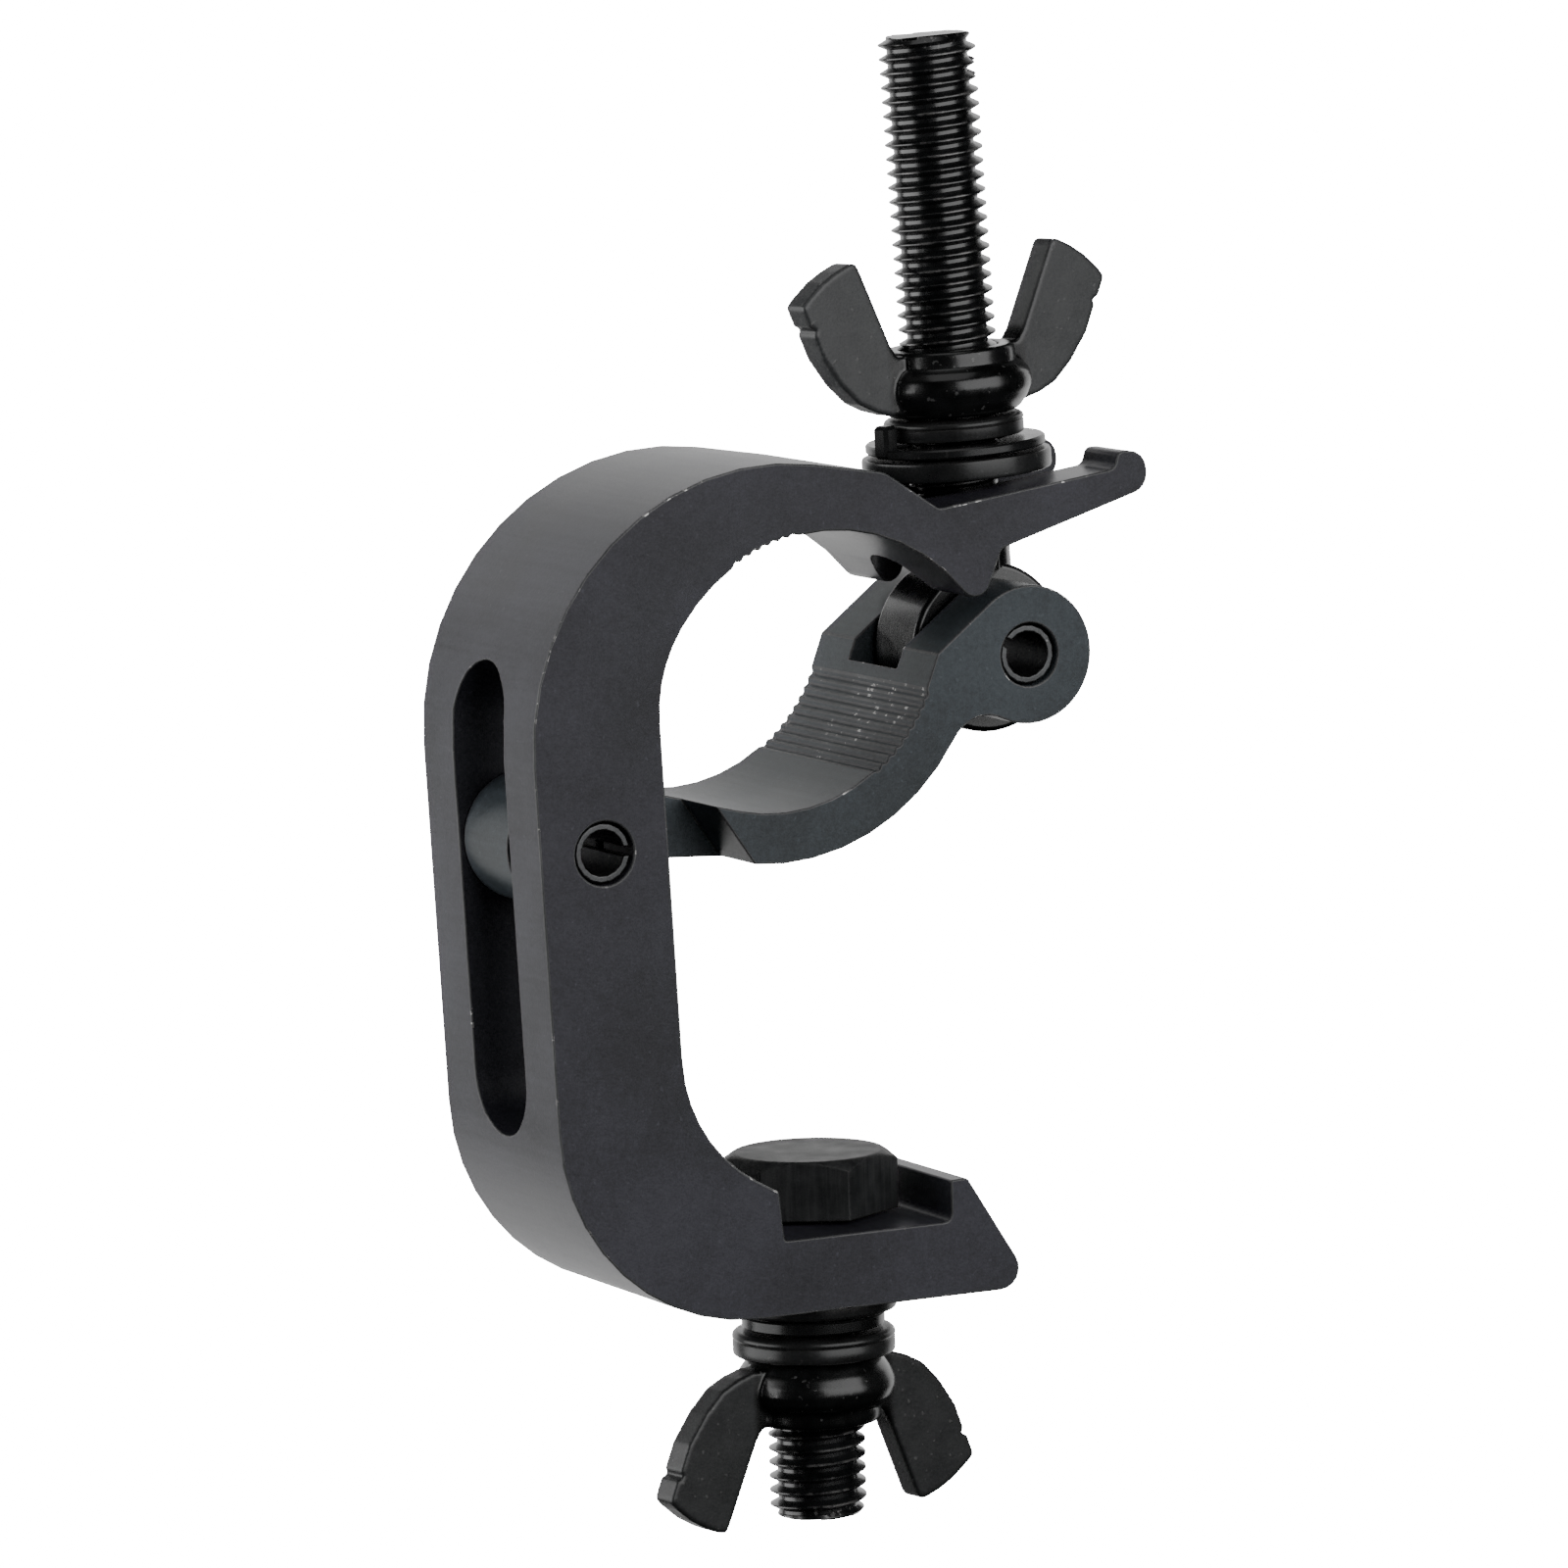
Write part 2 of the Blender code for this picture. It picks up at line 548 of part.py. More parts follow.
# ---------------------------------------------------------------- bolts
def make_swing_bolt(pivot):
    """The threaded stem, turned about the leaning centre line, joined to a flat eye."""
    profile = [
        (0.0, SWING_BOLT_LENGTH),
        (BOLT_RADIUS - TIP_CHAMFER, SWING_BOLT_LENGTH),
        (BOLT_RADIUS, SWING_BOLT_LENGTH - TIP_CHAMFER),
        (BOLT_RADIUS, SWING_EYE_RADIUS / 2),
        (0.0, SWING_EYE_RADIUS / 2),
    ]
    bolt = turned("swing_bolt", profile, pivot, OXIDE)
    half = SWING_EYE_WIDTH / 2
    eye = cylinder("swing_eye", SWING_EYE_RADIUS, -half, half, "Y")
    combine(bolt, add_tool("swing_eye", eye, pivot), "UNION")
    hole = cylinder("swing_eye_hole", PIN_HOLE_RADIUS, -2 * half, 2 * half, "Y")
    combine(bolt, add_tool("swing_eye_hole", hole, pivot))
    return bolt


def make_lower_bolt(axis):
    """Local Z points down from the pocket floor, with the head on the other side of it."""
    mesh = cylinder("lower_bolt", HEX_CORNER, -HEX_HEIGHT, 0.0, sides=6)
    bolt = add_part("lower_bolt", mesh, axis, OXIDE)
    crown = turned("head_crown", [
        (0.0, HEX_CROWN),
        (HEX_CORNER + HEX_CROWN, HEX_CROWN),
        (HEX_CORNER + HEX_CROWN, HEX_CROWN - HEX_HEIGHT),
        (HEX_ACROSS_FLATS / 2 - FIT_GAP, -HEX_HEIGHT),
        (0.0, -HEX_HEIGHT),
    ], axis, None)
    combine(bolt, crown, "INTERSECT")
    stem = turned("lower_stem", [
        (0.0, LOWER_BOLT_LENGTH),
        (BOLT_RADIUS - TIP_CHAMFER, LOWER_BOLT_LENGTH),
        (BOLT_RADIUS, LOWER_BOLT_LENGTH - TIP_CHAMFER),
        (BOLT_RADIUS, -HEX_HEIGHT / 2),
        (0.0, -HEX_HEIGHT / 2),
    ], axis, None)
    combine(bolt, stem, "UNION")
    return bolt


# ---------------------------------------------------------------- wing nuts
def make_wing_nut(name, base, parent, turn):
    """Bearing face at base, wings rising along local Z."""
    nut = turned(name, [
        (0.0, base + HUB_HEIGHT),
        (HUB_RADIUS - 0.0011, base + HUB_HEIGHT),
        (HUB_RADIUS - 0.0004, base + HUB_HEIGHT - 0.0008),
        (HUB_RADIUS, base + 0.0045),
        (HUB_RADIUS - 0.0004, base + 0.0024),
        (HUB_RADIUS - 0.0014, base + 0.0010),
        (HUB_RADIUS - 0.0022, base),
        (0.0, base),
    ], parent, DARK_STEEL)
    outline = [(distance, height + base) for distance, height in wing_outline()]
    for side, angle in (("a", turn), ("b", turn + pi)):
        wing = extruded(f"{name}_wing_{side}", outline, WING_THICKNESS, turn=angle)
        combine(nut, add_tool(f"{name}_wing_{side}", wing, parent), "UNION")
    bore = cylinder(f"{name}_bore", NUT_BORE_RADIUS, base - HUB_HEIGHT, base + WING_HEIGHT)
    combine(nut, add_tool(f"{name}_bore", bore, parent))
    return nut


# ---------------------------------------------------------------- assembly
def seat_height():
    """Height along the swing bolt at which the flat washer clears the arm's rising slope."""
    slope = atan2(ARM_SLOPE, 1.0)
    valley = polar(GRIP_RADIUS + VALLEY_WALL, VALLEY_ANGLE)
    axis_x = BOLT_PIN[0] + tan(SWING_BOLT_LEAN) * (valley[1] - BOLT_PIN[1])
    slope_z = valley[1] + ARM_SLOPE * (axis_x - valley[0])
    reach = sqrt((BOLT_RADIUS + UPPER_FLAT[0]) ** 2 - (SLOT_WIDTH / 2 - SIDE_PLAY) ** 2)
    rise = reach * sin(slope + SWING_BOLT_LEAN)
    return hypot(slope_z - BOLT_PIN[1], axis_x - BOLT_PIN[0]) + rise + FIT_GAP


def stack(heights, start):
    """Bases of pieces that stand on each other with a gap under each."""
    bases = []
    level = start
    for height in heights:
        bases.append(level)
        level += height + FIT_GAP
    return bases, level


def build():
    make_body()
    jaw_axis = empty("jaw_axis", (JAW_PIN[0], 0.0, JAW_PIN[1]))
    make_pin("jaw_pin", BODY_WIDTH, 0.0, 0.0, jaw_axis)
    make_jaw(jaw_axis)

    bolt_axis = empty("bolt_axis", (BOLT_PIN[0] - JAW_PIN[0], SIDE_PLAY, BOLT_PIN[1] - JAW_PIN[1]),
                      parent=jaw_axis)
    make_pin("bolt_pin", JAW_WIDTH, 0.0, radians(150), bolt_axis)
    swing = empty("swing_line", (0.0, 0.0, 0.0), SWING_BOLT_LEAN, bolt_axis)
    make_swing_bolt(swing)
    sizes = (UPPER_FLAT, UPPER_SPRING, UPPER_THICK)
    bases, nut_base = stack([size[1] for size in sizes], seat_height())
    washer("upper_flat_washer", UPPER_FLAT, bases[0], swing, DARK_STEEL)
    spring_washer("upper_spring_washer", UPPER_SPRING, bases[1], swing, SPRING_STEEL, radians(187))
    washer("upper_thick_washer", UPPER_THICK, bases[2], swing, DARK_STEEL)
    make_wing_nut("upper_wing_nut", nut_base, swing, WING_TURN)

    lower = empty("lower_bolt_axis", (LOWER_BOLT_X, 0.0, POCKET_Z + FIT_GAP), pi)
    make_lower_bolt(lower)
    under = POCKET_FLOOR + 2 * FIT_GAP
    sizes = (LOWER_FLAT, LOWER_SPRING, LOWER_THICK)
    bases, nut_base = stack([size[1] for size in sizes], under)
    washer("lower_flat_washer", LOWER_FLAT, bases[0], lower, DARK_STEEL)
    spring_washer("lower_spring_washer", LOWER_SPRING, bases[1], lower, SPRING_STEEL, radians(60))
    washer("lower_thick_washer", LOWER_THICK, bases[2], lower, DARK_STEEL)
    make_wing_nut("lower_wing_nut", nut_base, lower, -WING_TURN)


build()
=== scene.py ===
"""A black hook clamp for a round truss tube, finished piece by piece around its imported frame.

Metres, with the frame's own axes: +X from the spine to the tips of the arms, +Y along the tube,
+Z up.  Sizes and places that the frame knows are read from it.
"""
import json
from math import atan2, cos, hypot, pi, radians, sin

import bpy
from mathutils import Matrix, Vector


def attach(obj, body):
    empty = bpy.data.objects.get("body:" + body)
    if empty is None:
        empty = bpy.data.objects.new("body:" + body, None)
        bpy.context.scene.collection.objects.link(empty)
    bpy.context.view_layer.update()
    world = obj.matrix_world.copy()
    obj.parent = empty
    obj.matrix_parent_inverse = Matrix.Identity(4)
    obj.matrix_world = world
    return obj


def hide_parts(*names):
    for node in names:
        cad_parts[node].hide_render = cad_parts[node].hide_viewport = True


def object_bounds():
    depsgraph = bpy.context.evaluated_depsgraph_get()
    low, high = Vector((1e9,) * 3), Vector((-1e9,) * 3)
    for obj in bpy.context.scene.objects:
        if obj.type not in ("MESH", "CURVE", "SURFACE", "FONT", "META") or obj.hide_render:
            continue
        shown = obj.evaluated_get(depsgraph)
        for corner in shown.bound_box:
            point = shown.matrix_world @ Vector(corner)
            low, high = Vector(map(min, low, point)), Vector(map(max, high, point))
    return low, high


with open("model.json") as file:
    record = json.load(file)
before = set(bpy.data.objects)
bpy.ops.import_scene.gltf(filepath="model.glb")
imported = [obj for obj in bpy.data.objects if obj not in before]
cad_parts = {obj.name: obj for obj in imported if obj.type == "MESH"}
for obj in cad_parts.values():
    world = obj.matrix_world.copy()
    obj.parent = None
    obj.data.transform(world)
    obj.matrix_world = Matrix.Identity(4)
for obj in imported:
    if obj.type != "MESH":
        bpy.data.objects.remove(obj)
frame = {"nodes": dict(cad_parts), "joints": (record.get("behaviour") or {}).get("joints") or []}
cad_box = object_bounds()

# ---------------------------------------------------------------- clamp body
# The C is sawn from one aluminium extrusion, milled with a long slot in its spine and another in
# its upper arm, drilled, and coated matt black.  Its sawn sides have a fine grain and its skin
# keeps the faint lines of the die; the coat is thin and chipped along the broken edges.


def pick(piece):
    """Makes a piece the only selected one."""
    bpy.ops.object.select_all(action="DESELECT")
    piece.select_set(True)
    bpy.context.view_layer.objects.active = piece


def modify(piece, kind, **settings):
    """Adds a modifier and applies it at once."""
    modifier = piece.modifiers.new(kind.lower(), kind)
    for name, value in settings.items():
        setattr(modifier, name, value)
    pick(piece)
    bpy.ops.object.modifier_apply(modifier=modifier.name)


def merged_copy(name, node):
    """A copy of a frame solid whose loose triangles are joined into whole faces."""
    mesh = frame["nodes"][node].data.copy()
    mesh.materials.clear()
    piece = bpy.data.objects.new(name, mesh)
    bpy.context.scene.collection.objects.link(piece)
    pick(piece)
    bpy.ops.mesh.customdata_custom_splitnormals_clear()
    bpy.ops.object.mode_set(mode="EDIT")
    bpy.ops.mesh.select_all(action="SELECT")
    bpy.ops.mesh.remove_doubles(threshold=0.0001)
    bpy.ops.mesh.dissolve_limited(angle_limit=radians(0.6))
    bpy.ops.mesh.normals_make_consistent(inside=False)
    bpy.ops.object.mode_set(mode="OBJECT")
    return piece


def break_edges(piece, width, steps=3, angle=radians(28), material=-1):
    """Rounds every edge sharper than the angle."""
    modify(piece, "BEVEL", width=width, segments=steps, limit_method="ANGLE", angle_limit=angle,
           use_clamp_overlap=False, miter_outer="MITER_ARC", material=material, harden_normals=False)


def shade(piece, angle=radians(32)):
    """Smooth shading that leaves the large flat faces flat."""
    pick(piece)
    bpy.ops.object.shade_smooth_by_angle(angle=angle)
    modify(piece, "WEIGHTED_NORMAL", keep_sharp=True, weight=100)


def paint(piece, *finishes):
    """Gives a piece its finishes; faces take the first unless a later step says otherwise."""
    for finish in finishes:
        piece.data.materials.append(finish)


def seat(piece, body, node):
    """Gives a finished piece the body it moves with, and hides the frame node that it stands for."""
    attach(piece, body)
    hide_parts(node)


class Wire:
    """A socket of a finish's nodes.  Arithmetic on it adds Math nodes; node() adds any other."""

    def __init__(self, tree, socket=None):
        self.tree = tree
        self.socket = socket

    def node(self, kind, inputs, output=0, **settings):
        made = self.tree.nodes.new(kind)
        for name, value in settings.items():
            setattr(made, name, value)
        for name, value in inputs.items():
            if isinstance(value, Wire):
                self.tree.links.new(value.socket, made.inputs[name])
            else:
                made.inputs[name].default_value = value
        return Wire(self.tree, made.outputs[output])

    def math(self, operation, first, second=0.0):
        return self.node("ShaderNodeMath", {0: first, 1: second}, operation=operation)

    def __add__(self, other):
        return self.math("ADD", self, other)

    def __sub__(self, other):
        return self.math("SUBTRACT", self, other)

    def __rsub__(self, other):
        return self.math("SUBTRACT", other, self)

    def __mul__(self, other):
        return self.math("MULTIPLY", self, other)

    __radd__ = __add__
    __rmul__ = __mul__

    def ramp(self, low, high):
        """0 below low, 1 above high."""
        return self.node("ShaderNodeMapRange", {"Value": self, "From Min": low, "From Max": high},
                         interpolation_type="SMOOTHSTEP")

    def noise(self, scale, detail=2.0, roughness=0.55):
        """Cloudy values about 0.5 on a vector; features are about 1 / scale metres."""
        return self.node("ShaderNodeTexNoise", {"Vector": self, "Scale": scale, "Detail": detail,
                                                "Roughness": roughness})

    def stretched(self, *scale):
        return self.node("ShaderNodeMapping", {"Vector": self, "Scale": scale})

    def part(self, axis):
        return self.node("ShaderNodeSeparateXYZ", {"Vector": self}, axis)

    def blend(self, first, second):
        """From one colour to another."""
        return self.node("ShaderNodeMix", {0: self, 6: first, 7: second}, 2, data_type="RGBA")


def new_finish(name, metallic=0.0, specular=0.5, coat=0.0):
    """A finish, with its wire to build on and its shader."""
    made = bpy.data.materials.new(name)
    made.use_nodes = True
    shader = made.node_tree.nodes["Principled BSDF"]
    shader.inputs["Metallic"].default_value = metallic
    shader.inputs["Specular IOR Level"].default_value = specular
    shader.inputs["Coat Weight"].default_value = coat
    shader.inputs["Coat Roughness"].default_value = 0.12
    return made, Wire(made.node_tree), shader


def connect(wire, shader, **outputs):
    """Plugs wires into the shader; bump=(height, distance) goes in as a normal."""
    for name, value in outputs.items():
        if name == "bump":
            height, distance = value
            value = wire.node("ShaderNodeBump", {"Height": height, "Distance": distance,
                                                 "Strength": 1.0})
            name = "Normal"
        wire.tree.links.new(value.socket, shader.inputs[name.replace("_", " ")])


def grey(level, blue=1.0):
    """A grey; blue above 1 makes it cooler."""
    return (level, level * (1 + blue) / 2, level * blue, 1.0)


def dimmed(colour, factor):
    """A darker or brighter shade of a colour."""
    return tuple(level * factor for level in colour) + (1.0,)


def coat_finish(name, coat, side_gloss, skin_gloss):
    """Matt black coat: grainy on the sawn sides, smoother with die lines on the extruded skin."""
    made, wire, shader = new_finish(name, specular=0.45)
    place = wire.node("ShaderNodeTexCoord", {}, "Object")
    facing = wire.node("ShaderNodeTexCoord", {}, "Normal").part("Y")
    side = wire.math("POWER", wire.math("ABSOLUTE", facing), 6.0)
    grain = place.noise(2300.0, 3.0, 0.65)
    cloud = place.noise(55.0, 4.0)
    lines = place.stretched(1.0, 0.03, 1.0).noise(900.0, 3.0)
    speck = place.noise(1300.0, 1.0).ramp(0.70, 0.78)
    tone = cloud * 0.5 + grain * 0.3 + lines * 0.2
    colour = tone.ramp(0.3, 0.7).blend(dimmed(coat, 0.50), dimmed(coat, 1.50))
    colour = (speck * 0.35).blend(colour, dimmed(coat, 2.6))
    gloss = side * (side_gloss - skin_gloss) + skin_gloss + (cloud - 0.5) * 0.10 + (grain - 0.5) * 0.08
    height = side * grain * 0.9 + (1.0 - side) * (lines * 0.45 + grain * 0.35)
    connect(wire, shader, Base_Color=colour, Roughness=gloss, bump=(height, 0.000030))
    return made


def edge_finish(name, level, bare):
    """The coat on a broken edge: rubbed shiny, and chipped to bright metal where noise passes bare."""
    made, wire, shader = new_finish(name, specular=0.5)
    place = wire.node("ShaderNodeTexCoord", {}, "Object")
    rub = place.noise(120.0, 3.0)
    chip = place.noise(640.0, 3.0, 0.6).ramp(bare, bare + 0.03) * rub.ramp(0.46, 0.60)
    worn = rub.ramp(0.35, 0.75).blend(grey(level, 1.08), grey(level * 2.2, 1.05))
    colour = chip.blend(worn, grey(0.52, 0.97))
    gloss = 0.44 - chip * 0.10 + (place.noise(900.0) - 0.5) * 0.12
    connect(wire, shader, Base_Color=colour, Roughness=gloss, Metallic=chip,
            bump=(place.noise(1500.0) - chip * 0.8, 0.00002))
    return made


body_edge = 0.00024             # how far the body's corners are broken
body_coat = (0.039, 0.039, 0.050)

body_piece = merged_copy("body_extrusion", "clamp_body")
paint(body_piece, coat_finish("matt_black_coat", body_coat, 0.56, 0.33),
      edge_finish("worn_coat_edge", 0.055, 0.60))
break_edges(body_piece, body_edge, material=1)
shade(body_piece)
seat(body_piece, "body", "clamp_body")

# ---------------------------------------------------------------- lower jaw
# The jaw is a slice of a second, curved extrusion.  Both of its sides are milled back to a tongue
# that turns in the spine's slot, and a clevis is cut in its far end for the swing bolt's eye.

jaw_edge = 0.00022
jaw_coat = (0.047, 0.058, 0.067)

jaw_piece = merged_copy("jaw_extrusion", "lower_jaw")
paint(jaw_piece, coat_finish("jaw_black_coat", jaw_coat, 0.54, 0.42),
      edge_finish("worn_jaw_edge", 0.060, 0.60))
break_edges(jaw_piece, jaw_edge, material=1)
shade(jaw_piece)
seat(jaw_piece, "jaw", "lower_jaw")

# ---------------------------------------------------------------- spring pins
# Two rolled spring pins, curled from strip so that a slit runs along them, are driven flush into
# the body and the jaw.  The jaw turns on one and the swing bolt's eye on the other.


def steel_finish(name, level, gloss, metallic, scratch=0.5):
    """Dark rolled or turned steel, with faint marks of the tool and small rubbed places."""
    made, wire, shader = new_finish(name, metallic=metallic, specular=0.55)
    place = wire.node("ShaderNodeTexCoord", {}, "Object")
    cloud = place.noise(260.0, 4.0)
    grain = place.noise(2600.0, 2.0)
    marks = place.stretched(1.0, 1.0, 0.08).noise(1500.0, 2.0)
    tone = cloud * 0.6 + grain * 0.25 + marks * 0.15
    rubbed = place.noise(900.0, 2.0).ramp(0.66, 0.74) * scratch
    colour = tone.ramp(0.3, 0.7).blend(grey(level * 0.7, 1.05), grey(level * 1.3, 1.05))
    colour = rubbed.blend(colour, grey(level * 4.0))
    roughness = gloss + (cloud - 0.5) * 0.18 + (grain - 0.5) * 0.10
    connect(wire, shader, Base_Color=colour, Roughness=roughness,
            bump=(grain * 0.7 + marks * 0.3, 0.000008))
    return made


pin_edge = 0.00018
pin_finish = steel_finish("rolled_spring_steel", 0.085, 0.34, 0.85)

for pin_body, pin_node in (("body", "jaw_pin"), ("jaw", "bolt_pin")):
    pin_piece = merged_copy(f"{pin_node}_roll", pin_node)
    break_edges(pin_piece, pin_edge, angle=radians(40))
    shade(pin_piece)
    paint(pin_piece, pin_finish)
    seat(pin_piece, pin_body, pin_node)

# ---------------------------------------------------------------- swing bolt
# An M12 eye bolt: a flat round eye on the pin, a plain shank and a rolled thread.  The last thread
# is staked with a punch so that the wing nut can't come off.

joints = {joint["name"]: joint for joint in frame["joints"]}
pitch = 0.00175                 # coarse M12 thread
thread_depth = 0.00104
sides = 96                      # of a turned piece


def joint_line(name, axis_joint=None):
    """A matrix from a piece's own axis, local Z, to the line of a joint."""
    axis = Vector(joints[axis_joint or name]["axis"])
    lean = atan2(axis.x, axis.z)
    return Matrix.Translation(joints[name]["pos_m"]) @ Matrix.Rotation(lean, 4, "Y")


def extent(node, line):
    """(lowest, highest, widest radius) of a frame solid about a line."""
    local = [line.inverted() @ vertex.co for vertex in frame["nodes"][node].data.vertices]
    heights = [point.z for point in local]
    return min(heights), max(heights), max(hypot(point.x, point.y) for point in local)


def settled(name):
    """The primitive just added, named, with its place and turn in its mesh."""
    bpy.ops.object.transform_apply(location=True, rotation=True, scale=True)
    piece = bpy.context.object
    piece.name = name
    return piece


def traced(name, points, closed=False):
    """A line of edges in the XZ plane, drawn by extruding one vertex from point to point."""
    spots = [Vector((x, 0.0, z)) for x, z in points]
    bpy.ops.object.select_all(action="DESELECT")
    bpy.ops.mesh.primitive_plane_add(size=0.001, location=spots[0])
    piece = settled(name)
    bpy.ops.object.mode_set(mode="EDIT")
    bpy.ops.mesh.select_all(action="SELECT")
    bpy.ops.mesh.merge(type="CENTER")
    for before, after in zip(spots, spots[1:]):
        bpy.ops.mesh.extrude_region_move(TRANSFORM_OT_translate={"value": after - before})
    if closed:
        bpy.ops.mesh.select_all(action="SELECT")
        bpy.ops.mesh.edge_face_add()
    bpy.ops.object.mode_set(mode="OBJECT")
    return piece


def turned(name, profile, count=sides, ring=False):
    """A ring of edges is drawn out along the profile (radius, height); a ring closes on itself."""
    radius, height = profile[0]
    bpy.ops.object.select_all(action="DESELECT")
    bpy.ops.mesh.primitive_circle_add(vertices=count, radius=radius, location=(0.0, 0.0, height))
    piece = settled(name)
    bpy.ops.object.mode_set(mode="EDIT")
    bpy.ops.mesh.select_all(action="SELECT")
    steps = list(profile[1:]) + ([profile[0]] if ring else [])
    for wider, higher in steps:
        rise = (0.0, 0.0, higher - height)
        scale = wider / radius
        bpy.ops.mesh.extrude_region_move(TRANSFORM_OT_translate={"value": rise})
        bpy.ops.transform.resize(value=(scale, scale, 1.0), center_override=(0.0, 0.0, higher))
        radius, height = wider, higher
    bpy.ops.mesh.select_all(action="SELECT")
    if ring:
        bpy.ops.mesh.remove_doubles(threshold=0.000001)
    else:
        bpy.ops.mesh.fill_holes(sides=0)
    bpy.ops.mesh.select_all(action="SELECT")
    bpy.ops.mesh.normals_make_consistent(inside=False)
    bpy.ops.object.mode_set(mode="OBJECT")
    return piece


def combine(piece, tool, operation):
    """Joins, cuts or trims a piece with a tool, and removes the tool."""
    modify(piece, "BOOLEAN", object=tool, operation=operation, solver="EXACT")
    bpy.data.objects.remove(tool)


def place(piece, line):
    """Moves a piece, and leaves its object at the origin with its place in its mesh."""
    piece.matrix_world = line
    pick(piece)
    bpy.ops.object.transform_apply(location=True, rotation=True, scale=True)


def threaded_rod(name, radius, start, end, chamfer):
    """A rolled thread from start to end along Z: one pitch of its profile is screwed up the rod."""
    root = radius - thread_depth
    crest = radius - 0.00001
    flat = pitch / 8
    flank = (pitch - 3 * flat) / 2
    turns = int((end - start) / pitch) + 4
    low = start - 2 * pitch
    profile = [
        (root, low),
        (root, low + flat),
        (root + thread_depth * 0.12, low + flat * 1.35),
        (crest - thread_depth * 0.04, low + flat + flank - flat * 0.1),
        (crest, low + flat + flank + flat * 0.15),
        (crest, low + 2 * flat + flank - flat * 0.15),
        (crest - thread_depth * 0.04, low + 2 * flat + flank + flat * 0.1),
        (root + thread_depth * 0.12, low + 2 * flat + 2 * flank - flat * 0.35),
        (root, low + 2 * flat + 2 * flank),
        (root, low + pitch),
    ]
    rod = traced(name, profile)
    modify(rod, "SCREW", axis="Z", steps=60, render_steps=60, screw_offset=pitch, iterations=turns,
           use_normal_calculate=True)
    pick(rod)
    bpy.ops.object.mode_set(mode="EDIT")
    bpy.ops.mesh.select_all(action="SELECT")
    bpy.ops.mesh.remove_doubles(threshold=0.000002)
    for height, above in ((end, True), (start, False)):
        bpy.ops.mesh.select_all(action="SELECT")
        bpy.ops.mesh.bisect(plane_co=(0.0, 0.0, height), plane_no=(0.0, 0.0, 1.0),
                            use_fill=True, clear_outer=above, clear_inner=not above)
    bpy.ops.mesh.select_all(action="SELECT")
    bpy.ops.mesh.normals_make_consistent(inside=False)
    bpy.ops.object.mode_set(mode="OBJECT")
    for vertex in rod.data.vertices:
        cone = radius - chamfer + min(end - vertex.co.z, vertex.co.z - start + chamfer / 2)
        out = hypot(vertex.co.x, vertex.co.y)
        if out > cone:
            vertex.co.x *= cone / out
            vertex.co.y *= cone / out
    return rod


def about(wire, line):
    """For a finish: (the place, the height along a line, the distance from the line)."""
    spot = wire.node("ShaderNodeTexCoord", {}, "Object")
    back = line.inverted()
    local = wire.node("ShaderNodeMapping", {"Vector": spot, "Location": back.translation,
                                            "Rotation": back.to_euler()})
    square = wire.math("POWER", local.part("X"), 2.0) + wire.math("POWER", local.part("Y"), 2.0)
    return spot, local.part("Z"), wire.math("SQRT", square)


def bolt_finish(name, line, radius, thread_start, tip):
    """Glossy black oxide; the crests of the thread and its end are rubbed to bare steel."""
    made, wire, shader = new_finish(name, specular=0.75, coat=0.25)
    spot, along, out = about(wire, line)
    cloud = spot.noise(420.0, 3.0)
    grain = spot.noise(2400.0, 2.0)
    crest = out.ramp(radius - 0.00020, radius - 0.00004) * cloud.ramp(0.47, 0.62)
    crest = crest * along.ramp(thread_start, thread_start + 0.001)
    end = along.ramp(tip - 0.0022, tip - 0.0006) * spot.noise(1500.0, 2.0).ramp(0.60, 0.68)
    worn = wire.math("MAXIMUM", crest * 0.55, end)
    colour = cloud.ramp(0.3, 0.7).blend(grey(0.0035, 1.2), grey(0.011, 1.15))
    colour = worn.blend(colour, grey(0.24, 0.98))
    roughness = 0.27 + (cloud - 0.5) * 0.14 + (grain - 0.5) * 0.10 + worn * 0.10
    connect(wire, shader, Base_Color=colour, Roughness=roughness, Metallic=worn * 0.8,
            bump=(cloud * 0.6 + grain * 0.4, 0.000012))
    return made


swing_line = joint_line("bolt_swing", "upper_nut_travel")
swing_low, swing_tip, _ = extent("swing_bolt", swing_line)
bolt_radius = 0.006
eye_radius = -swing_low
eye_width = 2 * (bolt_radius - 0.0006)
eye_hole = 0.0039               # radius, round the pin
eye_edge = 0.0007
shank_end = eye_radius + 0.0045
shank_radius = bolt_radius - 0.0002
lying = (pi / 2, 0.0, 0.0)      # turns a cylinder's axis to the pin's

swing_piece = turned("swing_eye_bolt", [
    (bolt_radius - 0.0012, eye_radius / 2),
    (shank_radius, eye_radius - 0.001),
    (shank_radius, shank_end),
    (bolt_radius - 0.0011, shank_end + 0.0009),
])
bpy.ops.mesh.primitive_cylinder_add(vertices=sides, radius=eye_radius, depth=eye_width, rotation=lying)
eye = settled("eye")
break_edges(eye, eye_edge)
combine(swing_piece, eye, "UNION")
bpy.ops.mesh.primitive_cylinder_add(vertices=64, radius=eye_hole, depth=3 * eye_width, rotation=lying)
combine(swing_piece, settled("eye_hole"), "DIFFERENCE")
swing_thread = threaded_rod("swing_thread", bolt_radius, shank_end, swing_tip - 0.0001, 0.0008)
combine(swing_piece, swing_thread, "UNION")

